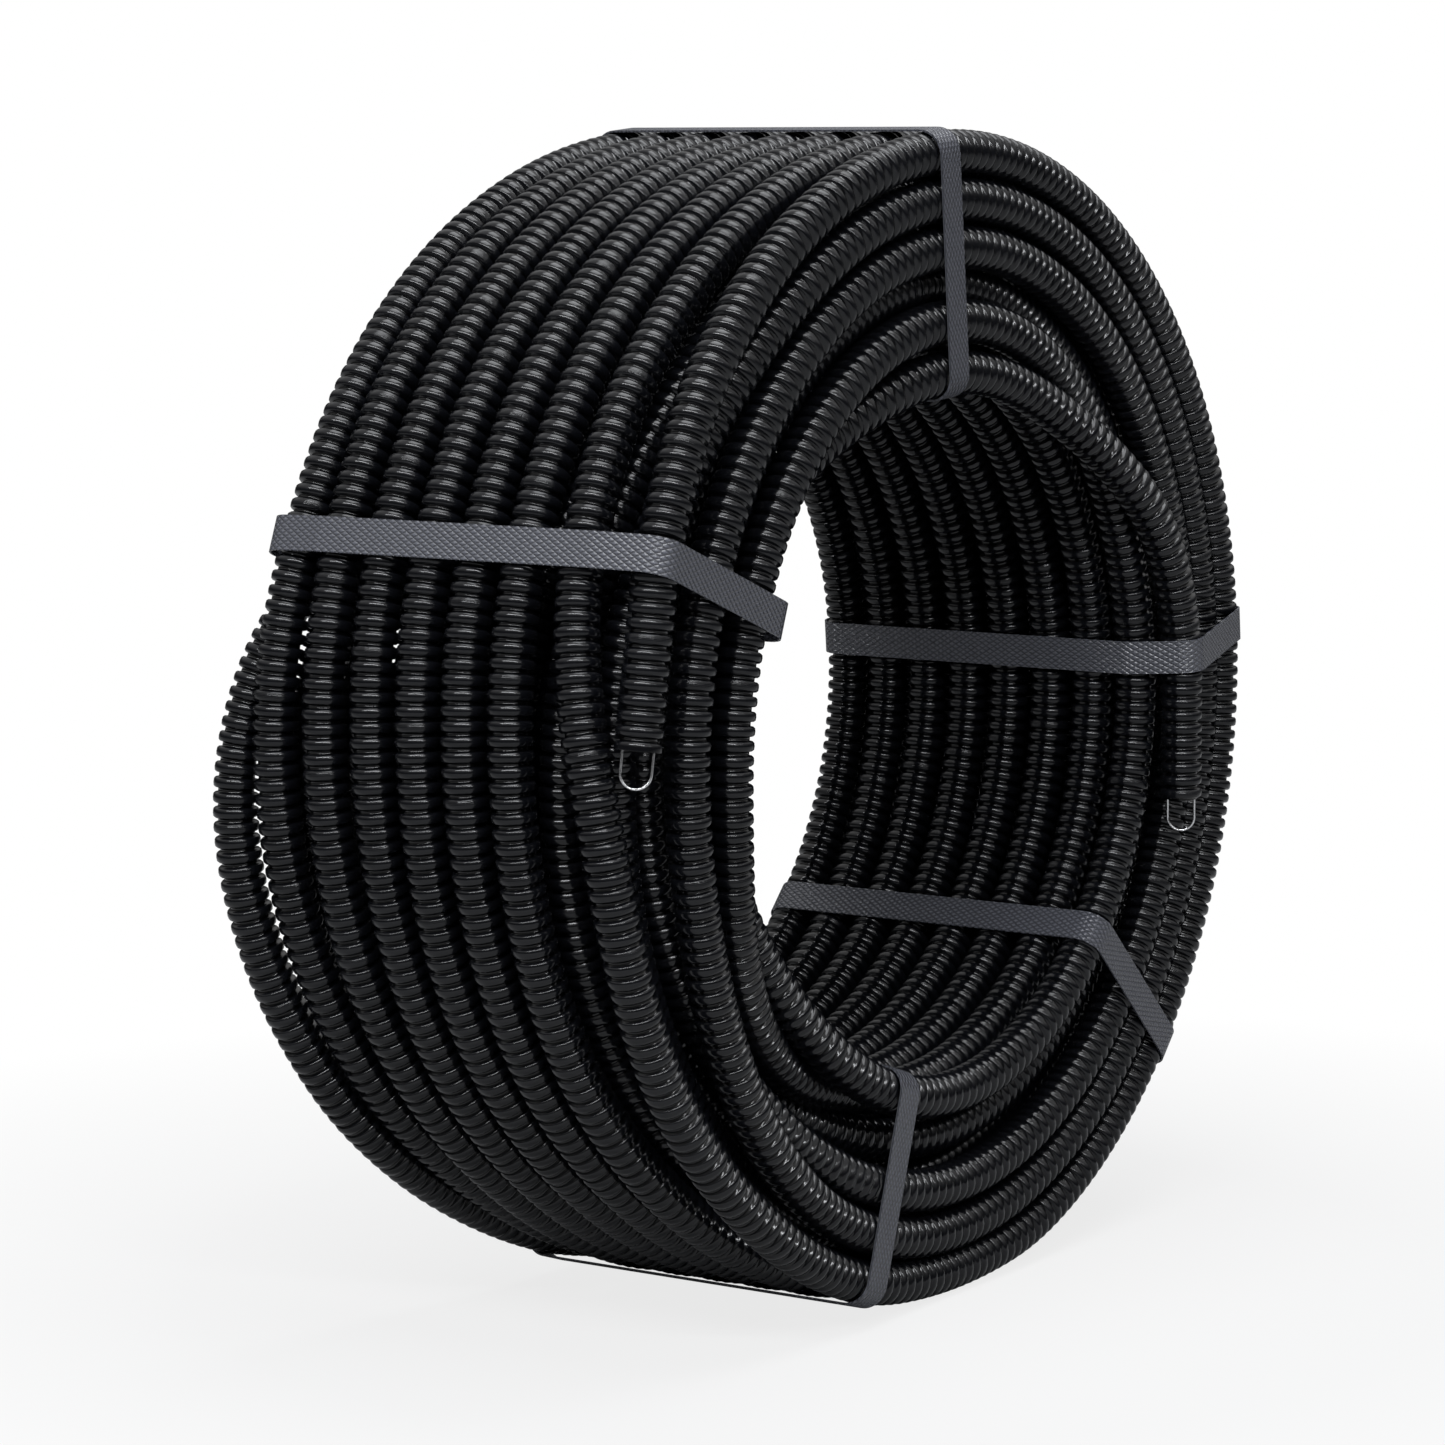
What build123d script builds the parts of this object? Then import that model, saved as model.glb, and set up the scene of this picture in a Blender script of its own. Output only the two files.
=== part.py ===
from build123d import *
import os
from math import cos, pi, radians, sin, tan

# A coil of black corrugated hose with a steel draw wire through it, tied by five plastic straps.
# The coil stands on its rim: its axis is +Y, its near face looks towards -Y, and the origin is
# at the foot of the turn next to its middle. Ring angles go round the axis from +X towards +Z.
# Lengths are in millimetres.

# ---- the hose ----
hose_diameter = 16.0          # over the crests of its ribs
hose_bore = 11.8              # clear way inside the grooves
touch_gap = 0.5               # air between two lengths of hose that lie on each other

# ---- the winding ----
coil_radius = 215.0           # axis to the crest of the outermost turn
layers = 5
layer_step = 17.2             # each layer rides on the one inside it
sunk_layer = 3                # counted from outside: one turn fewer, half a pitch further in
turns_wide = 8                # turns in each other layer
turn_pitch = 19.0             # from turn to turn along the axis
foot_flat = 2.0               # how far the standing coil flattens at its foot

# ---- the three lengths of hose that leave the winding ----
last_turn_leaves = 100.0      # ring angle where the last turn loosens from the winding
last_turn_drift = 40.0        # degrees in which it slips to its place on the edge
last_turn_inset = 4.5         # how far it slips inwards of the outermost layer
last_turn_slip = 1.0          # how far it slips outwards over the near face
outer_end_angle = 164.5       # ring angle where the outer end runs straight
outer_end_lean = 5.5          # degrees that it leans inwards from the ring's tangent
outer_end_run = 22.0          # straight run before the outer end, in line with it
outer_end_length = 44.0
second_turn_leaves = 140.0    # ring angle where the next layer's corner turn slips away inwards
corner_turn_returns = 192.0   # ring angle where turns take both corner places again
first_turn_leaves = 27.0      # ring angle where the first turn takes the inner corner's place
first_turn_joins = 125.0      # ring angle where it is part of the winding again
inner_end_angle = 0.5         # ring angle where the inner end runs straight
inner_end_length = 46.0
first_turn_step = 12.0        # degrees between two corners of its route, the first at half of it
first_turn_route = (          # hose spacings inwards of the innermost layer, and out of the face
    (-0.44, 1.0), (-0.32, 1.0), (-0.05, 0.92), (0.28, 0.6), (0.5, 0.25), (0.6, 0.04),
    (0.64, 0.0), (0.65, 0.0), (0.6, 0.0), (0.35, 0.0), (0.08, 0.0), (0.0, -0.4),
)
loose_turn_leaves = 106.0     # ring angle where the loose turn comes out of the far face
loose_turn_drift = 28.0       # degrees in which it slips out on to the far face, or back in
loose_turn_bows_from = 168.0  # ring angle where it stands away from the winding
loose_turn_returns = 241.0    # ring angle where it is back in the winding
loose_turn_inset = 1.0        # how far it lies inwards of the outermost layer
loose_turn_axial_bow = 16.0   # how far it bows away from the far face
loose_turn_radial_bow = 9.0   # how far it bows outwards
loose_turn_skew = 0.7         # below 1, the bow is widest in its first half
route_step = 8.0              # degrees between two corners of a route

# ---- the draw wire ----
wire_diameter = 0.9
wire_wall_gap = 0.25          # between a leg of the loop and the hose's bore
loop_length = 13.0            # how far the loop stands out of the hose
long_leg = 30.0               # inside the hose, on the side where the wire goes on
short_leg = 20.0              # inside the hose, the bent-back end
outer_loop_twist = -36.0      # degrees that the loop is turned about the hose's axis
inner_loop_twist = -28.0

# ---- the straps ----
strap_width = 12.7
strap_thickness = 0.7
strap_gap = 0.4               # between a strap and the crests that it holds
strap_left_rise = 3.3         # the leaning last turn stands this much higher under the left strap
strap_overlap = 30.0          # length of the welded joint, where the band lies double
strap_angles = {
    "strap_right": 5.0,
    "strap_top": 95.0,
    "strap_left": 159.2,
    "strap_bottom": 251.5,
    "strap_lower_right": 316.5,
}

# ---- worked out from the values above ----
hose_radius = hose_diameter / 2
turn_spacing = hose_diameter + touch_gap
outer_layer_radius = coil_radius - hose_radius
axis_height = coil_radius - foot_flat
strap_reach = hose_radius + strap_gap


def layer_radius(layer):
    """Radius of the turns' centres in one layer; layer 0 is the outermost."""
    return outer_layer_radius - layer * layer_step


def layer_turns(layer):
    """How many turns lie side by side in one layer."""
    return turns_wide - 1 if layer == sunk_layer else turns_wide


def layer_end_y(layer):
    """Distance from the middle of the coil to the centre of the layer's end turns."""
    return turn_pitch * (layer_turns(layer) - 1) / 2


# Where the free lengths lie against the winding: their radius, and their y from its middle.
end_turn_y = layer_end_y(0)
face_turn_y = end_turn_y + turn_spacing
outer_corner = (layer_radius(0), -end_turn_y)
second_corner = (layer_radius(1), -end_turn_y)
inner_corner = (layer_radius(layers - 1), -end_turn_y)
last_turn_radius = outer_layer_radius - last_turn_inset
last_turn_y = end_turn_y + last_turn_slip
loose_turn_radius = outer_layer_radius - loose_turn_inset
coil_middle = Vector(0, turn_pitch / 2, axis_height)


def ring_point(radius, angle, y):
    """A point at a radius and a ring angle about the coil's axis, y from the coil's middle."""
    return coil_middle + Vector(radius * cos(radians(angle)), y, radius * sin(radians(angle)))


def ring_direction(angle):
    """The way a turn runs at a ring angle, towards larger angles."""
    return Vector(-sin(radians(angle)), 0, cos(radians(angle)))


# ---- the winding ----

def rim_centres(missing=()):
    """Section centres (radius, y) of the turns that show, without the missing ones."""
    centres = []
    for layer in range(layers):
        turns = layer_turns(layer)
        for turn in range(turns):
            on_face = turn in (0, turns - 1)
            if on_face or layer in (0, layers - 1):
                centres.append((layer_radius(layer), layer_end_y(layer) - turn * turn_pitch))
    return [centre for centre in centres if centre not in missing]


def core_outline(missing):
    """Corners of the polygon through the centres of the winding's face turns."""
    far = [(layer_radius(layer), layer_end_y(layer)) for layer in range(layers)]
    near = [(radius, -y) for radius, y in reversed(far)]
    near = [(radius, y + turn_pitch) if (radius, y) in missing else (radius, y) for radius, y in near]
    return far + near


def wound_sector(from_angle, to_angle, missing):
    """The winding between two ring angles, each outside turn rounded as the hose is."""
    section = Polygon(*core_outline(missing), align=None)
    for radius, y in rim_centres(missing):
        section += Pos(radius, y) * Circle(hose_radius)
    sector = revolve(section, Axis.Y, to_angle - from_angle)
    return Pos(coil_middle) * (Rot(0, -to_angle, 0) * sector)


def make_coil():
    """The wound hose as one closed solid, less a corner turn where a free length lies instead."""
    ring = wound_sector(corner_turn_returns, 360 + first_turn_leaves, ())
    ring += wound_sector(first_turn_leaves, last_turn_leaves, (inner_corner,))
    ring += wound_sector(last_turn_leaves, first_turn_joins, (inner_corner, outer_corner))
    ring += wound_sector(first_turn_joins, second_turn_leaves, (outer_corner,))
    ring += wound_sector(second_turn_leaves, corner_turn_returns, (outer_corner, second_corner))
    ground = Pos(0, 0, -coil_radius) * Box(4 * coil_radius, 4 * coil_radius, 2 * coil_radius)
    return ring - ground


# ---- lengths of hose off the winding ----

def circle_corner(radius, angle, y, step=route_step):
    """A route's corner, set out so that runs of one step just touch the circle."""
    return ring_point(radius / cos(radians(step / 2)), angle, y)


def corner_radii(points):
    """The largest even bend that each corner of a route leaves room for."""
    radii = []
    for before, corner, after in zip(points, points[1:], points[2:]):
        run_in, run_out = corner - before, after - corner
        turn = radians(run_in.get_angle(run_out))
        radii.append(0.45 * min(run_in.length, run_out.length) / tan(turn / 2))
    return radii


def hose_length(name, points):
    """A plain round length of hose along a route of straight runs and tangent bends."""
    radii = corner_radii(points)
    route = FilletPolyline(*points, radius=radii)
    print(f"{name}: {route.length:.1f} mm, bends {min(radii):.0f} to {max(radii):.0f} mm")
    start = Plane(origin=route @ 0, z_dir=route % 0)
    return sweep(start * Circle(hose_radius), path=route)


def largest_solid(shape):
    """The one length that is left after the part inside the winding is cut away."""
    return max(shape.solids(), key=lambda solid: solid.volume)


def end_plane(angle, radius, y, run_angle, way):
    """Plane across a straight hose end at its root, looking towards the mouth."""
    direction = ring_direction(run_angle) * way
    return Plane(origin=ring_point(radius, angle, y), x_dir=(0, 1, 0), z_dir=direction)


outer_run_angle = outer_end_angle + outer_end_lean
outer_end_plane = end_plane(outer_end_angle, last_turn_radius, -last_turn_y, outer_run_angle, 1)


def make_last_turn(coil):
    """The last stretch of the outermost turn, from the full winding to its straight end."""
    end_run = outer_end_plane.z_dir * outer_end_run
    points = [outer_end_plane.origin, outer_end_plane.origin - end_run]
    corner_angle = outer_end_angle - 2 * route_step
    while corner_angle > last_turn_leaves:
        share = min(1.0, (corner_angle - last_turn_leaves) / last_turn_drift)
        radius = outer_layer_radius - share * last_turn_inset
        points.append(circle_corner(radius, corner_angle, -end_turn_y - share * last_turn_slip))
        corner_angle -= route_step
    points.append(circle_corner(outer_layer_radius, corner_angle, -end_turn_y))
    return largest_solid(hose_length("hose_last_turn", points) - coil)


def first_turn_place(inwards, outwards):
    """Radius and y of a point of the first turn's route, given in hose spacings."""
    radius = layer_radius(layers - 1) - inwards * turn_spacing
    return radius, -end_turn_y - outwards * turn_spacing


def make_first_turn(coil):
    """The innermost turn's start, from its straight end to where the winding takes it in."""
    radius, y = first_turn_place(*first_turn_route[0])
    points = [ring_point(radius, inner_end_angle, y)]
    corner_angle = inner_end_angle + first_turn_step / 2
    for place in first_turn_route:
        radius, y = first_turn_place(*place)
        points.append(circle_corner(radius, corner_angle, y, first_turn_step))
        corner_angle += first_turn_step
    return largest_solid(hose_length("hose_first_turn", points) - coil)


def make_loose_turn(coil):
    """The far turn that bows away from the winding between the left and bottom straps."""
    angle = loose_turn_leaves - loose_turn_drift / 2
    points = []
    while angle < loose_turn_returns + loose_turn_drift / 2:
        nearer_end = min(angle - loose_turn_leaves, loose_turn_returns - angle)
        share = min(1.0, nearer_end / loose_turn_drift)
        way_round = (angle - loose_turn_bows_from) / (loose_turn_returns - loose_turn_bows_from)
        bow = sin(pi * min(1.0, max(0.0, way_round)) ** loose_turn_skew)
        radius = loose_turn_radius + loose_turn_radial_bow * bow
        y = end_turn_y + share * turn_spacing + loose_turn_axial_bow * bow
        points.append(circle_corner(radius, angle, y))
        angle += route_step
    return largest_solid(hose_length("hose_loose_turn", points) - coil)


inner_end_place = first_turn_place(*first_turn_route[0])
inner_end_plane = end_plane(inner_end_angle, *inner_end_place, inner_end_angle, -1)


def make_hose_end(root, length):
    """A straight cut end of the hose, open at its mouth."""
    ring = Circle(hose_radius) - Circle(hose_bore / 2)
    return extrude(root * ring, amount=length)


# ---- the draw wire ----

def make_wire_loop(root, end_length, twist):
    """The loop that the draw wire is bent into at a hose end, with both its legs in the bore."""
    leg = hose_bore / 2 - wire_wall_gap - wire_diameter / 2
    top = end_length + loop_length - leg - wire_diameter / 2
    route = Polyline((leg, 0, end_length - short_leg), (leg, 0, top))
    route += ThreePointArc((leg, 0, top), (0, 0, top + leg), (-leg, 0, top))
    route += Polyline((-leg, 0, top), (-leg, 0, end_length - long_leg))
    start = Plane(origin=(leg, 0, end_length - short_leg), z_dir=(0, 0, 1))
    wire = sweep(start * Circle(wire_diameter / 2), path=route)
    return root.location * (Rot(0, 0, twist) * wire)


# ---- the straps ----

def convex_corners(points):
    """The corners of a convex outline round a set of points, in order."""
    def chain(ordered):
        hull = []
        for x, y in ordered:
            while len(hull) > 1:
                (x0, y0), (x1, y1) = hull[-2:]
                if (x1 - x0) * (y - y0) - (y1 - y0) * (x - x0) > 0:
                    break
                hull.pop()
            hull.append((x, y))
        return hull[:-1]

    ordered = sorted(points)
    return chain(ordered) + chain(ordered[::-1])


def make_strap(angle, held):
    """A flat band pulled tight round the turns that it holds."""
    core = Polygon(*convex_corners(held), align=None)
    inside, outside, doubled = (
        offset(core, amount=strap_reach + wraps * strap_thickness, kind=Kind.ARC)
        for wraps in range(3)
    )
    middle_radius = (layer_radius(0) + layer_radius(layers - 1)) / 2
    joint = Pos(middle_radius, 2 * end_turn_y) * Rectangle(strap_overlap, 4 * end_turn_y)
    band = (outside - inside) + ((doubled - outside) & joint)
    flat = extrude(band, amount=strap_width / 2, both=True)
    return Pos(coil_middle) * (Rot(0, -angle, 0) * flat)


# ---- the whole part ----

coil = make_coil()
parts = {
    "hose_coil": coil,
    "hose_loose_turn": make_loose_turn(coil),
    "hose_last_turn": make_last_turn(coil),
    "hose_outer_end": make_hose_end(outer_end_plane, outer_end_length),
    "hose_first_turn": make_first_turn(coil),
    "hose_inner_end": make_hose_end(inner_end_plane, inner_end_length),
    "draw_wire_outer_loop": make_wire_loop(outer_end_plane, outer_end_length, outer_loop_twist),
    "draw_wire_inner_loop": make_wire_loop(inner_end_plane, inner_end_length, inner_loop_twist),
}
last_turn_place = (last_turn_radius + strap_left_rise, -last_turn_y)
loose_turn_place = (loose_turn_radius, face_turn_y)
held_by_strap = {strap: rim_centres() for strap in strap_angles}
held_by_strap["strap_right"] += [inner_end_place]
held_by_strap["strap_top"] = rim_centres((inner_corner,)) + [first_turn_place(*first_turn_route[7])]
left_free = [last_turn_place, loose_turn_place]
held_by_strap["strap_left"] = rim_centres((outer_corner, second_corner)) + left_free
for strap, angle in strap_angles.items():
    parts[strap] = make_strap(angle, held_by_strap[strap])

os.makedirs("parts", exist_ok=True)
for name, shape in parts.items():
    shape.label = name
    export_step(shape, f"parts/{name}.step")
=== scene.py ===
import math
from functools import partial
import bpy
import numpy as np
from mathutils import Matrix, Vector


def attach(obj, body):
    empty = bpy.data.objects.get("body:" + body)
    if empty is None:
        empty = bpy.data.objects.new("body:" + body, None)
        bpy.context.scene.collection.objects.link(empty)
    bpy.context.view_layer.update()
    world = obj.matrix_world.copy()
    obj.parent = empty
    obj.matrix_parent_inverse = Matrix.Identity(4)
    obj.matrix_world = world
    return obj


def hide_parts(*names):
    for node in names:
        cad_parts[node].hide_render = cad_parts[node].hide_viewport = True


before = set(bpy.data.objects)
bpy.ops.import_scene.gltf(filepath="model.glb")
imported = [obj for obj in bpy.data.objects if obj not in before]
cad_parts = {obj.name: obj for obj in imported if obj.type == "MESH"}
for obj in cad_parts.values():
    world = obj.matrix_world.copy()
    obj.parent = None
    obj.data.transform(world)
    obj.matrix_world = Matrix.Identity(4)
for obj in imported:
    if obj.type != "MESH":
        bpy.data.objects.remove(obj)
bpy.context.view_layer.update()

# A tied coil of black corrugated hose. Lengths are in millimetres until they become points in
# metres. Ring angles are in degrees round the coil's axis, from +X towards +Z. An unrolled angle
# counts on from turn to turn. y is from the coil's middle, and the near face is at -y.
MIDDLE = Vector((0.0, 0.0095, 0.213))

# ---- camera ----
LOOK_BACK = Vector((-0.8328, -0.5403, 0.1200)).normalized()
AIM = Vector((0.0, 0.0105, 0.213))
CAMERA_DISTANCE = 1.720

camera_data = bpy.data.cameras.new("camera")
camera = bpy.data.objects.new("camera", camera_data)
bpy.context.collection.objects.link(camera)
camera.location = AIM + LOOK_BACK * CAMERA_DISTANCE
camera.rotation_euler = LOOK_BACK.to_track_quat("Z", "Y").to_euler()
camera_data.sensor_width = 36.0
camera_data.lens = 114.49
camera_data.shift_x = -0.0527
camera_data.shift_y = -0.0097
camera_data.clip_start = 0.05
camera_data.clip_end = 50.0
bpy.context.scene.camera = camera

# ---- the hose ----
RIB_PITCH = 5.1
WALL = 0.9
BORE_RADIUS = 5.9  # the wire's legs slide inside it
HOLLOW_DEPTH = 43.5
END_SQUASH, END_SQUASH_RUN = 0.03, 18.0  # the outer mouth is a little oval
TANGENT_REACH = 2.5
SEAM_MIDDLE, SEAM_WANDER, SEAM_RATE = 2.3, 0.8, 1.7  # the seam wanders along the hose
# Rings of one rib: share of the pitch, radius. Plain ribs are for turns that are mostly hidden.
RIB_FINE = (
    (0.13, 6.3), (0.17, 7.4), (0.27, 7.93), (0.5, 8.08), (0.73, 7.93), (0.83, 7.4), (0.87, 6.3),
)
RIB_PLAIN = ((0.0, 6.4), (0.14, 6.5), (0.2, 8.0), (0.8, 8.0), (0.86, 6.5))
ROUND_FINE, ROUND_PLAIN = 24, 12

# ---- the winding: five layers, from the outermost in ----
LAYER_RADIUS = (207.0, 189.8, 172.6, 155.4, 138.2)
PITCH = 19.0
EDGE = 66.5  # y of a layer's last turn
SUNK_EDGE = 57.0  # the same in layer 4, whose seven turns lie half a pitch further in
STEP = 15.0  # degrees between two control points
FIRST_TURN_STEP, LOOSE_TURN_STEP, LAST_LAYER_STEP = 12.0, 7.0, 10.0


def smooth(t):
    """Rises softly from 0 to 1 while t does."""
    t = min(1.0, max(0.0, t))
    return t * t * (3 - 2 * t)


def table(angle, rows):
    """Linear reading of rows (angle, value, ...) at an angle."""
    angles, *columns = zip(*rows)
    return [float(np.interp(angle, angles, column)) for column in columns]


def seats(radius, edge, count, way):
    """Seats (radius, y) of a layer's turns; way 1 goes from the near face to the far one."""
    return [(radius, way * (-edge + PITCH * turn)) for turn in range(count)]


def control(radius, angle, y, step):
    """A control point set out so that the smooth line runs at the radius."""
    reach = radius / math.cos(math.radians(step / 2))
    a = math.radians(angle)
    return (reach * math.cos(a), y, reach * math.sin(a))


def jogged(places, angle, start, width):
    """The place at an unrolled angle: each turn keeps its seat, then slips over to the next."""
    turn = math.floor((angle - start) / 360)
    share = smooth((angle - start - 360 * turn) / width)
    turn = min(max(turn, 0), len(places) - 2)
    here, there = places[turn], places[turn + 1]
    return [here[i] + (there[i] - here[i]) * share for i in (0, 1)]


# Inner stretch: the inner end, its first turn, layer 5 to the far face and layer 4 back.
INNER_END_ANGLE, INNER_END_LENGTH = 0.5, 46.0
# Angle, radius and y.
FIRST_TURN = (
    (6.5, 145.5, -83.0), (18.5, 143.5, -83.0), (30.5, 139.0, -81.7), (42.5, 133.6, -76.4),
    (54.5, 130.0, -70.6), (66.5, 128.3, -67.2), (78.5, 127.6, -66.5), (92.5, 127.5, -66.5),
    (104.0, 127.8, -66.0), (116.0, 128.8, -62.5), (128.0, 131.4, -57.5), (140.0, 135.0, -53.0),
    (152.0, 138.2, -51.2), (164.0, 138.2, -51.2), (176.0, 138.2, -51.2), (188.0, 138.0, -51.2),
    (200.0, 137.0, -52.5), (212.0, 136.0, -56.5), (224.0, 136.0, -60.5), (236.0, 137.0, -64.0),
)
SEATED_FROM = 250.0
# The next turn crosses over the first one on its way inwards.
CROSSING = (
    (547, 146.0, -66.5), (560, 149.5, -63.5), (575, 152.0, -57.5), (590, 149.5, -51.5),
    (602, 143.5, -48.5), (613, 138.2, -47.5),
)
CROSSING_FROM, CROSSING_TO = CROSSING[0][0], CROSSING[-1][0]
SECOND_TURN_LIFT = 7.8  # the second turn lies on the inner end
LAYER_5_JOG, LAYER_5_JOG_WIDTH = 187.0, 66.0
CROWDED_PITCH = 16.93 / PITCH  # layer 5 is crowded towards the far face at the left
LAYER_4_JOG, LAYER_4_JOG_WIDTH = 225.0, 50.0
LAYER_4_FROM = 253.0 + 360 * 8
LAYER_4_SLIP = 9.0  # how far its first turn slips towards the far face at the right
LAYER_4_LAST = 360.0 * 15
LAYER_4_LAST_LIFT = 3.6
INNER_STOP = LAYER_4_LAST + 162.0  # behind the left strap
inner_places = seats(LAYER_RADIUS[4], EDGE, 8, 1) + seats(LAYER_RADIUS[3], SUNK_EDGE, 7, -1)


def inner_place(angle):
    """Radius and y on the inner stretch at an unrolled angle, past the first turn."""
    at = angle % 360
    beside_end = smooth((at - 20) / 60)
    if angle < CROSSING_FROM:
        return LAYER_RADIUS[4] + (SECOND_TURN_LIFT * beside_end if angle > 360 else 0.0), -EDGE
    if angle < CROSSING_TO:
        return table(angle, CROSSING)
    if angle < LAYER_4_FROM:
        radius, y = jogged(inner_places, angle, LAYER_5_JOG + 360, LAYER_5_JOG_WIDTH)
        crowding = smooth((at - 105) / 35) * smooth((250 - at) / 50)
        return radius, EDGE - (EDGE - y) * (1 - (1 - CROWDED_PITCH) * crowding)
    past = angle - LAYER_4_FROM
    outwards = LAYER_4_SLIP * smooth((past - 10) / 40) * smooth((190 - past) / 60)
    if past < 100:
        radius, y = inner_places[8]
    else:
        radius, y = jogged(inner_places, angle, LAYER_4_JOG + 360, LAYER_4_JOG_WIDTH)
    if angle > LAYER_4_LAST:
        radius += LAYER_4_LAST_LIFT * beside_end
    return radius, y + outwards


def inner_points():
    root = math.radians(INNER_END_ANGLE)
    radius, y = FIRST_TURN[0][1:]
    origin = (radius * math.cos(root), y, radius * math.sin(root))
    down = (math.sin(root), 0.0, -math.cos(root))
    points = [
        tuple(origin[i] + down[i] * INNER_END_LENGTH * share for i in range(3))
        for share in (1.0, 0.5, 0.0)
    ]
    points += [control(r, a, y, FIRST_TURN_STEP) for a, r, y in FIRST_TURN]
    angle = SEATED_FROM
    while angle < INNER_STOP:
        radius, y = inner_place(angle)
        points.append(control(radius, angle, y, STEP))
        angle += STEP
    return points


# Outer stretch: layer 3 to the near face, layer 2 back, the loose turn, and the outer layer.
OUTER_JOG, OUTER_JOG_WIDTH = 187.0, 66.0
OUTER_START = 212.0
LOOSE_FROM = 106.0 + 360 * 16
LAST_LAYER_FROM = 270.0 + 360 * 16
OUTER_END_ANGLE, OUTER_END_LENGTH = 164.5, 44.0
OUTER_END_RADIUS, OUTER_END_Y, OUTER_END_LEAN, OUTER_END_RUN = 202.5, -67.5, 5.5, 22.0
OUTER_END_GAP = 14.0  # degrees without control points before the straight end
LAYER_3_FIRST = 253.0 + 360
LAYER_3_FIRST_SLIP = 6.0
LAYER_2_FROM = 253.0 + 360 * 8
LAYER_2_JOG, LAYER_2_JOG_WIDTH = 118.0, 62.0
LAYER_2_LAST = LAYER_2_JOG + 360 * 15
FOOT_DROP = 204.0  # the coil stands on turns that run level this far below the middle
outer_places = [(158.0, 50.0)]
outer_places += seats(LAYER_RADIUS[2], EDGE, 8, -1) + seats(LAYER_RADIUS[1], EDGE, 8, 1)
# The turn that bows out at the far left: angle, radius and y.
LOOSE_TURN = (
    (106, 189.8, 66.5), (134, 190.5, 75.5), (159, 190.5, 79.5), (166, 194.5, 91.0),
    (173, 202.0, 97.5), (183, 208.0, 100.5), (193, 211.0, 99.7), (204, 212.0, 94.8),
    (219, 211.0, 87.3), (232, 209.0, 78.5), (239, 208.0, 73.0), (246, 207.3, 68.0),
    (251.5, 206.5, 66.5), (262, 205.0, 66.5), (270, 204.0, 66.5),
)
# How far the outer layer's turns lie from their seats at the left, in y, or sink inwards.
DRIFT_FROM, DRIFT_TO = 95, 270
DRIFT_FIRST = (
    (95, 0), (110, 4), (130, 9), (150, 12), (159, 12), (166, 15), (173, 16.5), (189, 15.5),
    (201, 12.3), (216, 7), (235, -4), (253, -16.5), (270, -19),
)
SINK_FIRST = ((195, 0), (208, 1), (219, 2), (232, 4), (250, 2), (262, 0))
DRIFT_MIDDLE = (
    (95, 0), (110, 5), (130, 10.5), (150, 14), (159, 13), (166, 13), (173, 12), (189, 9),
    (201, 7.5), (216, 2.5), (235, -7.5), (253, -16.5), (270, -19),
)
DRIFT_SEVENTH = (
    (95, 0.5), (110, 4), (130, 8), (150, 10.5), (159, 8.5), (166, 6.5), (173, 1.5), (189, -11),
    (201, -11.5), (216, -13.2), (235, -18.5), (253, -18.5), (270, -19),
)
DRIFT_LAST = ((95, 0), (110, 1), (130, 1.5), (150, -0.5), (159, -1), (270, -1))
MIDDLE_SPREAD = 0.5
SECOND_TURN_DRIFT = 1.5
# Layer 2 follows the loose turn: y of its last turn, and the shifts of the turns before it.
LAYER_2_LAST_TURN = (
    (118, 47.5), (135, 53), (150, 61), (165, 74.5), (180, 84), (197, 83.5), (212, 79.5),
    (227, 74), (245, 66.5),
)
LAYER_2_SHIFTS = (17.0, 16.0, 12.0, 6.0, 2.0, 0.0)


def last_layer_place(angle):
    """Radius and y of the outer layer at an unrolled angle that starts at its first turn."""
    turn = int((angle - LAST_LAYER_FROM) // 360)
    at = (angle - LAST_LAYER_FROM) % 360 + 270
    at = at - 360 if at > 360 else at
    drift = 0.0
    if DRIFT_FROM < at < DRIFT_TO:
        rows = {0: DRIFT_FIRST, 6: DRIFT_SEVENTH, 7: DRIFT_LAST}.get(turn, DRIFT_MIDDLE)
        drift = table(at, rows)[0]
        if 0 < turn < 6:
            fade = smooth((at - DRIFT_FROM) / 50) * smooth((230 - at) / 40)
            drift += MIDDLE_SPREAD * (3 - turn) * fade
    radius = LAYER_RADIUS[0]
    if at > 230 or at < -60:
        radius = min(radius, FOOT_DROP / abs(math.sin(math.radians(at))))
    if turn == 0 and at > 180:
        radius -= table(at, SINK_FIRST)[0]
    if turn == 1:
        drift += SECOND_TURN_DRIFT * smooth((at - 160) / 20) * smooth((225 - at) / 25)
    return radius, EDGE - PITCH * turn + drift


def middle_place(angle):
    """Radius and y in layers 3 and 2 at an unrolled angle of the outer stretch."""
    jog, width = OUTER_JOG, OUTER_JOG_WIDTH
    if angle > LAYER_2_FROM:
        jog, width = LAYER_2_JOG, LAYER_2_JOG_WIDTH
    radius, y = jogged(outer_places, angle, jog, width)
    at = angle % 360
    if angle > LAYER_2_LAST and at > LAYER_2_JOG:
        y = table(at, LAYER_2_LAST_TURN)[0]
    elif angle < LAYER_2_LAST and LAYER_2_JOG < at < 245:
        before_last = min(int((LAYER_2_LAST - angle) // 360), len(LAYER_2_SHIFTS) - 1)
        y += LAYER_2_SHIFTS[before_last] * smooth((at - 150) / 30) * smooth((245 - at) / 40)
    if angle < LAYER_3_FIRST:
        y += LAYER_3_FIRST_SLIP * smooth((at - 120) / 30) * smooth((215 - at) / 30)
    return radius, y


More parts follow.
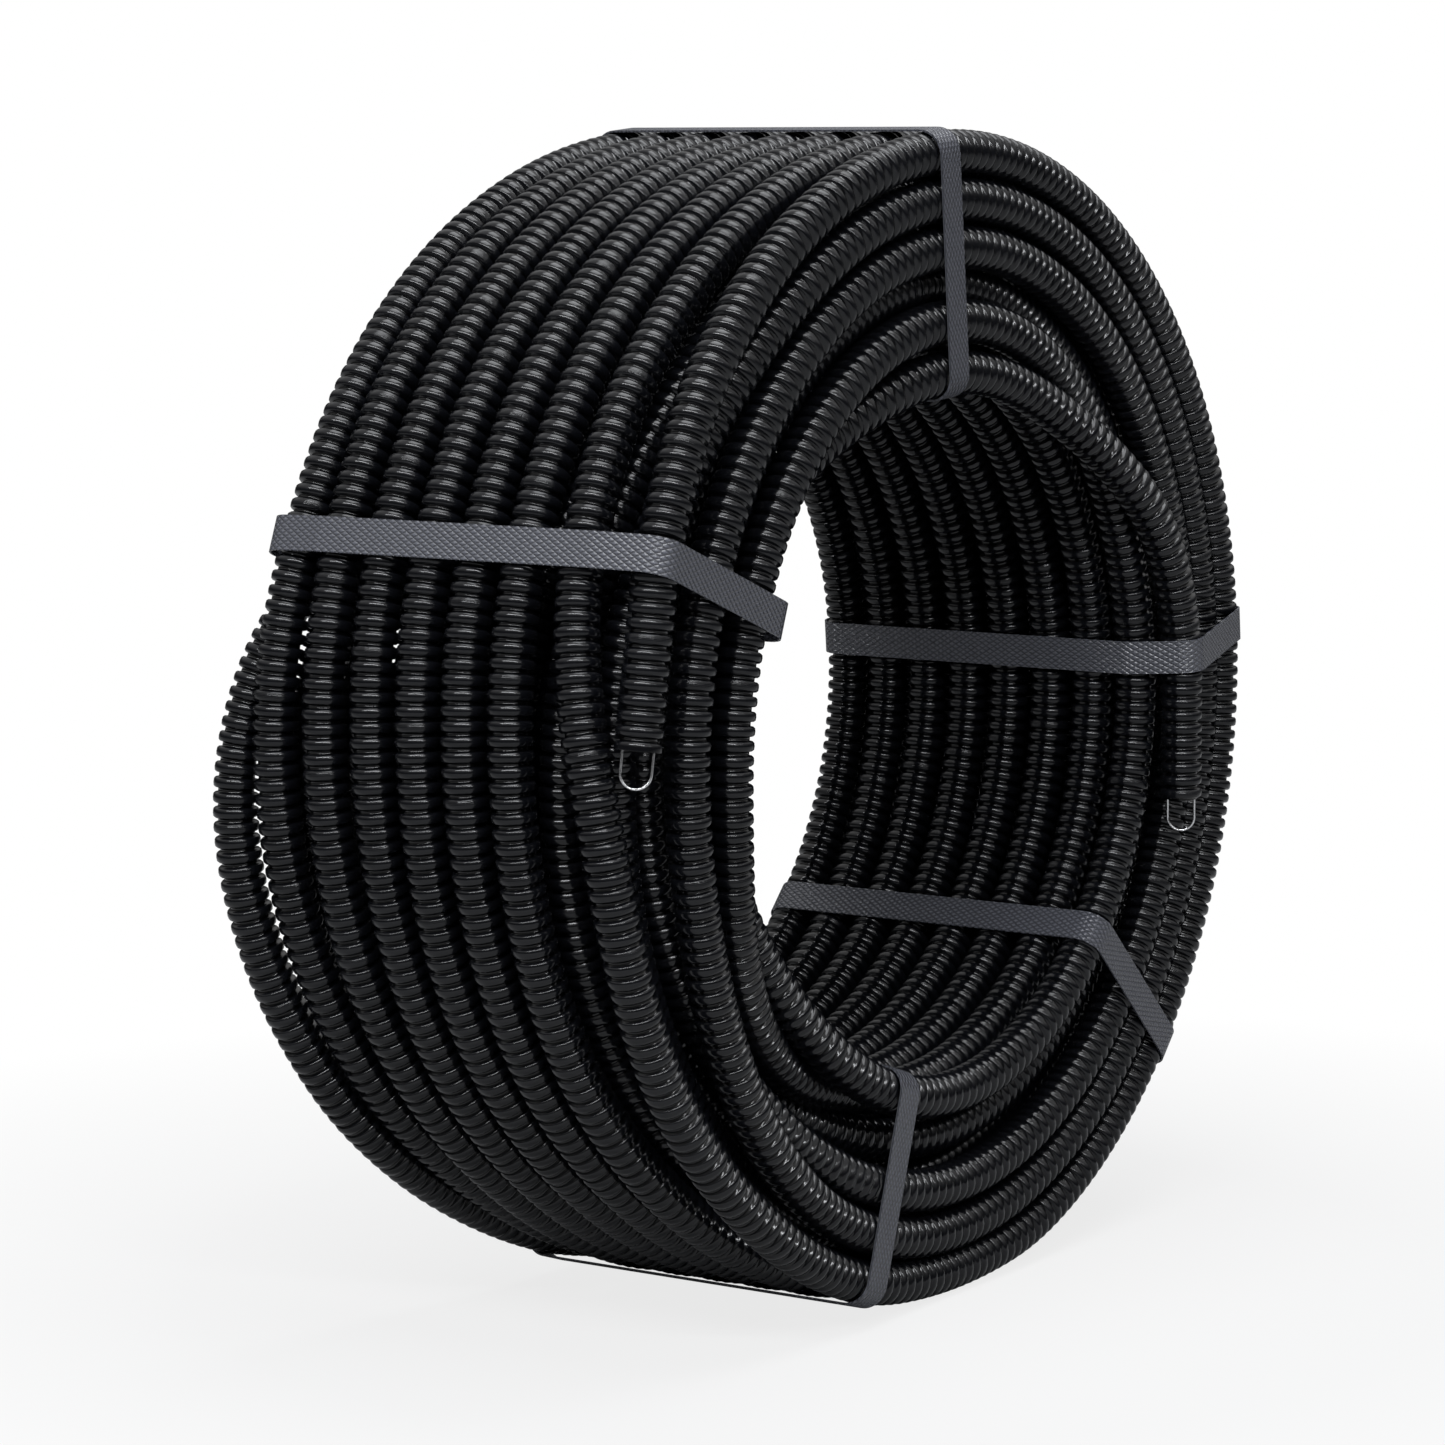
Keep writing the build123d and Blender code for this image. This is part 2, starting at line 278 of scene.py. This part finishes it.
def outer_points():
    points = []
    angle = OUTER_START
    while angle < LOOSE_FROM:
        radius, y = middle_place(angle)
        points.append(control(radius, angle, y, STEP))
        angle += STEP
    while angle < LAST_LAYER_FROM:
        radius, y = table(angle - 360 * 16, LOOSE_TURN)
        points.append(control(radius, angle, y, LOOSE_TURN_STEP))
        angle += LOOSE_TURN_STEP
    stop = LAST_LAYER_FROM + 360 * 7 + (OUTER_END_ANGLE + 90)
    while angle < stop - OUTER_END_GAP:
        radius, y = last_layer_place(angle)
        points.append(control(radius, angle, y, LAST_LAYER_STEP))
        angle += LAST_LAYER_STEP
    root = math.radians(OUTER_END_ANGLE)
    lean = math.radians(OUTER_END_ANGLE + OUTER_END_LEAN)
    origin = (OUTER_END_RADIUS * math.cos(root), OUTER_END_Y, OUTER_END_RADIUS * math.sin(root))
    along = (-math.sin(lean), 0.0, math.cos(lean))
    points += [
        tuple(origin[i] + along[i] * run for i in range(3))
        for run in (-OUTER_END_RUN, 0.0, OUTER_END_LENGTH / 2, OUTER_END_LENGTH)
    ]
    return points


def smooth_line(name, points):
    """Points in metres, read from the NURBS spline that a route's control points set out."""
    data = bpy.data.curves.new(name, "CURVE")
    data.dimensions = "3D"
    data.resolution_u = 12
    spline = data.splines.new("NURBS")
    spline.points.add(len(points) - 1)
    for point, (x, y, z) in zip(spline.points, points):
        point.co = (x / 1000, MIDDLE.y + y / 1000, MIDDLE.z + z / 1000, 1.0)
    spline.order_u = 3
    spline.use_endpoint_u = True
    holder = bpy.data.objects.new(name, data)
    bpy.context.collection.objects.link(holder)
    bpy.context.view_layer.update()
    mesh = bpy.data.meshes.new_from_object(holder)
    line = np.empty(len(mesh.vertices) * 3)
    mesh.vertices.foreach_get("co", line)
    bpy.data.objects.remove(holder)
    bpy.data.meshes.remove(mesh)
    return line.reshape(-1, 3)


class Line:
    """A smooth line with its lengths and its unrolled ring angles."""

    def __init__(self, points, first_angle):
        self.points = points
        steps = np.linalg.norm(np.diff(points, axis=0), axis=1)
        self.length = np.concatenate([[0.0], np.cumsum(steps)])
        turn = np.unwrap(np.arctan2(points[:, 2] - MIDDLE.z, points[:, 0] - MIDDLE.x))
        self.angle = np.degrees(turn)
        self.angle += 360 * round((first_angle - self.angle[0]) / 360)

    def at(self, s):
        """Points at lengths s along the line."""
        return np.stack([np.interp(s, self.length, self.points[:, i]) for i in range(3)], axis=1)

    def length_at(self, angle):
        return float(np.interp(angle, self.angle, self.length))


def bored(radii):
    """Radii of the hose's inner wall behind its outer ones."""
    return np.maximum(radii - WALL / 1000, BORE_RADIUS / 1000)


def hose_mesh(name, line, start, stop, fine, open_start, open_stop):
    """A corrugated tube along part of a line, hollow where its end is open."""
    profile, around = (RIB_FINE, ROUND_FINE) if fine else (RIB_PLAIN, ROUND_PLAIN)
    pitch = RIB_PITCH / 1000
    ribs = np.arange(math.floor(start / pitch), math.ceil(stop / pitch) + 1)
    where = np.array([(rib + share) * pitch for rib in ribs for share, _ in profile])
    radii = np.array([radius / 1000 for _ in ribs for _, radius in profile])
    kept = (where > start) & (where < stop)
    where = np.concatenate([[start], where[kept], [stop]])
    radii = np.concatenate([[radii[kept][0]], radii[kept], [radii[kept][-1]]])
    if open_stop:
        hollow = where > stop - HOLLOW_DEPTH / 1000
        where = np.concatenate([where, where[hollow][::-1]])
        radii = np.concatenate([radii, bored(radii[hollow])[::-1]])
    if open_start:
        hollow = where < start + HOLLOW_DEPTH / 1000
        where = np.concatenate([where[hollow][::-1], where])
        radii = np.concatenate([bored(radii[hollow])[::-1], radii])
    centre = line.at(where)
    reach = TANGENT_REACH / 1000
    ahead = line.at(np.minimum(where + reach, line.length[-1]))
    tangent = ahead - line.at(np.maximum(where - reach, 0.0))
    tangent /= np.linalg.norm(tangent, axis=1)[:, None]
    outward = centre - np.array([MIDDLE.x, 0, MIDDLE.z])
    outward[:, 1] = 0
    outward -= tangent * (outward * tangent).sum(axis=1)[:, None]
    outward /= np.linalg.norm(outward, axis=1)[:, None]
    side = np.cross(tangent, outward)
    squash = np.ones(len(where))
    if open_stop:
        run = END_SQUASH_RUN / 1000
        squash -= END_SQUASH * np.clip((where - stop + run) / run, 0, 1) ** 2
    theta = np.arange(around) * 2 * math.pi / around
    ring = (
        centre[:, None, :]
        + (radii * squash)[:, None, None] * np.cos(theta)[None, :, None] * outward[:, None, :]
        + (radii / squash)[:, None, None] * np.sin(theta)[None, :, None] * side[:, None, :]
    )
    rings = len(where)
    index = np.arange(rings * around).reshape(rings, around)
    turned = np.roll(index, -1, axis=1)
    quads = np.stack([index[:-1], turned[:-1], turned[1:], index[1:]], axis=-1).reshape(-1, 4)
    caps = [index[0][::-1], index[-1]]
    corners = np.concatenate([quads.ravel()] + caps).astype(np.int32)
    starts = np.concatenate([np.arange(len(quads)) * 4, len(quads) * 4 + np.array([0, around])])
    mesh = bpy.data.meshes.new(name)
    mesh.vertices.add(rings * around)
    mesh.vertices.foreach_set("co", ring.ravel())
    mesh.loops.add(len(corners))
    mesh.loops.foreach_set("vertex_index", corners)
    mesh.polygons.add(len(starts))
    mesh.polygons.foreach_set("loop_start", starts.astype(np.int32))
    mesh.update(calc_edges=True)
    mesh.polygons.foreach_set("use_smooth", np.ones(len(starts), dtype=bool))
    # Where each point lies on the hose, for its material: round from the seam, and in ribs along.
    seam = theta[None, :] - (SEAM_MIDDLE + SEAM_WANDER * np.sin(where * SEAM_RATE))[:, None]
    ribs_along = np.repeat((where / pitch)[:, None], around, 1)
    place = np.stack([np.cos(seam), np.sin(seam), ribs_along], axis=-1)
    attribute = mesh.attributes.new("hose_place", "FLOAT_VECTOR", "POINT")
    attribute.data.foreach_set("vector", place.ravel())
    mesh.validate()
    piece = bpy.data.objects.new(name, mesh)
    bpy.context.collection.objects.link(piece)
    return piece


INNER_START = -17.5
inner_line = Line(smooth_line("inner_route", inner_points()), INNER_START)
outer_line = Line(smooth_line("outer_route", outer_points()), OUTER_START)


# Name, line, unrolled angles from and to, fine ribs, and CAD nodes that it stands for.
STRETCHES = (
    (
        "hose_inner_end_and_layer_5a", inner_line, None, 1140, True,
        ("hose_first_turn", "hose_inner_end"),
    ),
    ("hose_layer_5b", inner_line, 1140, 2330, True, ()),
    ("hose_layer_5c", inner_line, 2330, 3515, True, ()),
    ("hose_layer_4a", inner_line, 3515, 5235, False, ()),
    ("hose_layer_4b", inner_line, 5235, None, True, ()),
    ("hose_layer_3a", outer_line, None, 613, True, ()),
    ("hose_layer_3b", outer_line, 613, 2773, False, ()),
    ("hose_layer_3c", outer_line, 2773, 3493, True, ()),
    ("hose_layer_2a", outer_line, 3493, 5653, False, ()),
    ("hose_layer_2b_and_loose_turn", outer_line, 5653, 6030, True, ("hose_loose_turn",)),
    ("hose_layer_1a", outer_line, 6030, 6750, True, ("hose_coil",)),
    ("hose_layer_1b", outer_line, 6750, 7470, True, ()),
    ("hose_layer_1c", outer_line, 7470, 8190, True, ()),
    (
        "hose_layer_1d_and_outer_end", outer_line, 8190, None, True,
        ("hose_last_turn", "hose_outer_end"),
    ),
)


# ---- materials ----
DIAMOND_SIZE = 0.0021  # metres, as all numbers in the materials


def new_material(name, color, roughness, metallic=0.0):
    material = bpy.data.materials.new(name)
    material.use_nodes = True
    shader = material.node_tree.nodes["Principled BSDF"]
    shader.inputs["Base Color"].default_value = (*color, 1.0)
    shader.inputs["Roughness"].default_value = roughness
    shader.inputs["Metallic"].default_value = metallic
    return material, material.node_tree, shader


def maths(tree, operation, *inputs):
    """A math node's output; its inputs are sockets or numbers."""
    node = tree.nodes.new("ShaderNodeMath")
    node.operation = operation
    for socket, source in zip(node.inputs, inputs):
        if isinstance(source, (int, float)):
            socket.default_value = source
        else:
            tree.links.new(source, socket)
    return node.outputs[0]


def noise(tree, scale, detail=3.0):
    node = tree.nodes.new("ShaderNodeTexNoise")
    coordinates = tree.nodes.new("ShaderNodeTexCoord")
    tree.links.new(coordinates.outputs["Object"], node.inputs["Vector"])
    node.inputs["Scale"].default_value = scale
    node.inputs["Detail"].default_value = detail
    return node.outputs["Fac"]


def ramp(tree, factor, low, high, from_low=0.0, from_high=1.0):
    """Goes from low to high while factor goes from from_low to from_high."""
    node = tree.nodes.new("ShaderNodeMapRange")
    tree.links.new(factor, node.inputs["Value"])
    node.inputs["From Min"].default_value = from_low
    node.inputs["From Max"].default_value = from_high
    node.inputs["To Min"].default_value = low
    node.inputs["To Max"].default_value = high
    return node.outputs["Result"]


def blend(tree, factor, first, second):
    """A mix of two colours; the first may be a socket."""
    node = tree.nodes.new("ShaderNodeMix")
    node.data_type = "RGBA"
    tree.links.new(factor, node.inputs["Factor"])
    if isinstance(first, tuple):
        node.inputs["A"].default_value = (*first, 1)
    else:
        tree.links.new(first, node.inputs["A"])
    node.inputs["B"].default_value = (*second, 1)
    return node.outputs["Result"]


def bumped(tree, shader, height, distance):
    node = tree.nodes.new("ShaderNodeBump")
    node.inputs["Distance"].default_value = distance
    node.inputs["Strength"].default_value = 1.0
    tree.links.new(height, node.inputs["Height"])
    tree.links.new(node.outputs["Normal"], shader.inputs["Normal"])


def hose_material():
    """Near-black plastic with painted shade in the grooves, seam ticks on the ribs and fine lines
    on some.
    """
    material, tree, shader = new_material("black_hose", (0.012, 0.012, 0.014), 0.3)
    shader.inputs["Specular IOR Level"].default_value = 0.34
    math_node = partial(maths, tree)
    place = tree.nodes.new("ShaderNodeAttribute")
    place.attribute_name = "hose_place"
    parts = tree.nodes.new("ShaderNodeSeparateXYZ")
    tree.links.new(place.outputs["Vector"], parts.inputs[0])
    cosine, sine, along = parts.outputs
    share = math_node("FRACT", along)
    past_start = math_node("GREATER_THAN", share, 0.26)
    on_crest = math_node("MULTIPLY", past_start, math_node("LESS_THAN", share, 0.74))
    off_seam = math_node("ABSOLUTE", math_node("ARCTAN2", sine, cosine))
    first_line = math_node("LESS_THAN", off_seam, 0.03)
    second_line = math_node("COMPARE", off_seam, 0.1, 0.02)
    tick = math_node("MULTIPLY", math_node("MAXIMUM", first_line, second_line), on_crest)
    lined = math_node("LESS_THAN", math_node("MODULO", along, 13.0), 1.0)
    lines = math_node("SINE", math_node("MULTIPLY", share, 75.0))
    lines = math_node("MULTIPLY", math_node("MULTIPLY", lines, lined), on_crest)
    grain = math_node("MULTIPLY", noise(tree, 900.0), 0.015)
    height = math_node("ADD", math_node("MULTIPLY", tick, 0.6), grain)
    height = math_node("ADD", height, math_node("MULTIPLY", lines, 0.12))
    bumped(tree, shader, height, 0.00012)
    cloudy = noise(tree, 25.0, 2.0)
    tree.links.new(ramp(tree, cloudy, 0.12, 0.2, 0.3, 0.7), shader.inputs["Roughness"])
    # Painted shade: the grooves get a darker colour than the ribs, standing in for the shadow
    # between them.
    before_rib = math_node("LESS_THAN", share, 0.14)
    painted_groove_shade = math_node("MAXIMUM", before_rib, math_node("GREATER_THAN", share, 0.86))
    colour = blend(tree, cloudy, (0.0024, 0.0026, 0.0033), (0.0048, 0.0052, 0.007))
    colour = blend(tree, painted_groove_shade, colour, (0.0012, 0.0012, 0.0015))
    tree.links.new(colour, shader.inputs["Base Color"])
    return material


def strap_material(name, angle):
    """Grey band with embossed diamonds, set along the band that lies at a ring angle, with
    painted shade in the diamonds' grooves.
    """
    material, tree, shader = new_material(name, (0.07, 0.075, 0.08), 0.25)
    math_node = partial(maths, tree)
    coordinates = tree.nodes.new("ShaderNodeTexCoord")
    a = math.radians(angle)

    def along(direction):
        node = tree.nodes.new("ShaderNodeVectorMath")
        node.operation = "DOT_PRODUCT"
        tree.links.new(coordinates.outputs["Object"], node.inputs[0])
        node.inputs[1].default_value = direction
        return node.outputs["Value"]

    across = along((-math.sin(a), 0, math.cos(a)))
    outwards = along((math.cos(a), 0, math.sin(a)))
    depth = along((0, 1, 0))
    geometry = tree.nodes.new("ShaderNodeNewGeometry")
    normal = tree.nodes.new("ShaderNodeSeparateXYZ")
    tree.links.new(geometry.outputs["Normal"], normal.inputs[0])
    on_face = math_node("GREATER_THAN", math_node("ABSOLUTE", normal.outputs["Y"]), 0.7)
    off_face = math_node("SUBTRACT", 1.0, on_face)
    length = math_node("MULTIPLY", outwards, on_face)
    length = math_node("ADD", length, math_node("MULTIPLY", depth, off_face))
    stretched = math_node("MULTIPLY", length, 0.6)
    grooves = math.pi / DIAMOND_SIZE
    one = math_node("MULTIPLY", math_node("ADD", stretched, across), grooves)
    two = math_node("MULTIPLY", math_node("SUBTRACT", stretched, across), grooves)
    one = math_node("ABSOLUTE", math_node("SINE", one))
    two = math_node("ABSOLUTE", math_node("SINE", two))
    diamonds = math_node("MINIMUM", one, two)
    height = math_node("ADD", diamonds, math_node("MULTIPLY", noise(tree, 700.0), 0.3))
    bumped(tree, shader, height, 0.0004)
    # Painted shade and highlight: the colour follows the emboss, darker in its grooves and
    # lighter on the raised diamonds.
    painted_emboss_shade = ramp(tree, diamonds, 0.0, 1.0, 0.0, 0.8)
    colour = blend(tree, painted_emboss_shade, (0.041, 0.043, 0.051), (0.093, 0.096, 0.115))
    tree.links.new(colour, shader.inputs["Base Color"])
    return material


def wire_material():
    material, tree, shader = new_material("draw_wire_steel", (0.62, 0.62, 0.63), 0.22, 1.0)
    streaks = noise(tree, 1500.0)
    tree.links.new(ramp(tree, streaks, 0.14, 0.34), shader.inputs["Roughness"])
    bumped(tree, shader, streaks, 0.00002)
    return material


# ---- the hose in its stretches ----
PATH_STEP, PATH_POINTS = 0.006, 20
black_hose = hose_material()
for name, line, first, last, fine, stands_for in STRETCHES:
    at_start = first is None and line is inner_line
    at_stop = last is None and line is outer_line
    start = 0.0 if first is None else line.length_at(first)
    stop = float(line.length[-1]) if last is None else line.length_at(last)
    piece = hose_mesh(name, line, start, stop, fine, at_start, at_stop)
    piece.data.materials.append(black_hose)
    count = max(PATH_POINTS, int((stop - start) / PATH_STEP))
    path = line.at(np.linspace(start, stop, count))
    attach(piece, "tied_coil")
    if stands_for:
        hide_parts(*stands_for)

# ---- straps and draw wire: the CAD nodes with their own materials ----
STRAP_ANGLES = {
    "strap_right": 5.0, "strap_top": 95.0, "strap_left": 159.2, "strap_bottom": 251.5,
    "strap_lower_right": 316.5,
}
steel = wire_material()


def dress(node, material):
    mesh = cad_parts[node].data
    mesh.materials.clear()
    mesh.materials.append(material)


for node, angle in STRAP_ANGLES.items():
    dress(node, strap_material(node + "_band", angle))
for node in ("draw_wire_outer_loop", "draw_wire_inner_loop"):
    dress(node, steel)

# ---- floor, world and lights ----
bpy.ops.mesh.primitive_plane_add(size=12.0, location=(0, 0, 0))
floor = bpy.context.object
floor.name = "floor"
floor_material, tree, floor_shader = new_material("white_floor", (0.5, 0.5, 0.5), 0.9)
floor.data.materials.append(floor_material)
# The camera sees the floor white away from the coil, and its shadow near it.
floor_place = tree.nodes.new("ShaderNodeTexCoord")
floor_reach = tree.nodes.new("ShaderNodeVectorMath")
floor_reach.operation = "LENGTH"
tree.links.new(floor_place.outputs["Object"], floor_reach.inputs[0])
floor_rays = tree.nodes.new("ShaderNodeLightPath")
glow = ramp(tree, floor_reach.outputs["Value"], 0.8, 1.0, 0.24, 0.55)
glow = maths(tree, "MULTIPLY", glow, floor_rays.outputs["Is Camera Ray"])
floor_white = tree.nodes.new("ShaderNodeEmission")
floor_mix = tree.nodes.new("ShaderNodeMixShader")
tree.links.new(glow, floor_mix.inputs[0])
tree.links.new(floor_shader.outputs[0], floor_mix.inputs[1])
tree.links.new(floor_white.outputs[0], floor_mix.inputs[2])
tree.links.new(floor_mix.outputs[0], tree.nodes["Material Output"].inputs["Surface"])

# The world is white to the camera and through glass, and overhead in reflections.
world = bpy.data.worlds.new("world")
bpy.context.scene.world = world
world.use_nodes = True
tree = world.node_tree
background = tree.nodes["Background"]
background.inputs["Color"].default_value = (1, 1, 1, 1)
rays = tree.nodes.new("ShaderNodeLightPath")
through = rays.outputs["Is Transmission Ray"]
seen = maths(tree, "MAXIMUM", rays.outputs["Is Camera Ray"], through)
sky = tree.nodes.new("ShaderNodeTexCoord")
sky_parts = tree.nodes.new("ShaderNodeSeparateXYZ")
tree.links.new(sky.outputs["Generated"], sky_parts.inputs[0])
overhead = ramp(tree, sky_parts.outputs["Z"], 0.0, 1.0, 0.2, 0.7)
mirrored = maths(tree, "MULTIPLY", rays.outputs["Is Glossy Ray"], overhead)
seen = maths(tree, "MAXIMUM", seen, mirrored)
tree.links.new(ramp(tree, seen, 0.07, 1.0), background.inputs["Strength"])

LAMP_COLOUR = (0.95, 0.97, 1.0)


def soft_light(name, location, width, height, power):
    """A rectangular lamp that faces the coil's middle."""
    data = bpy.data.lights.new(name, "AREA")
    data.shape = "RECTANGLE"
    data.size = width
    data.size_y = height
    data.energy = power
    data.color = LAMP_COLOUR
    painted_emboss_shade = bpy.data.objects.new(name, data)
    bpy.context.collection.objects.link(painted_emboss_shade)
    painted_emboss_shade.location = location
    painted_emboss_shade.rotation_euler = (Vector(location) - MIDDLE).to_track_quat("Z", "Y").to_euler()


soft_light("key", (-1.6, -0.65, 1.75), 2.8, 0.15, 46.0)
soft_light("top", (0.0, -0.2, 2.2), 1.8, 1.2, 38.0)
soft_light("front", (-0.5, -2.0, 1.5), 1.8, 0.15, 4.0)

bpy.context.scene.view_settings.view_transform = "Standard"
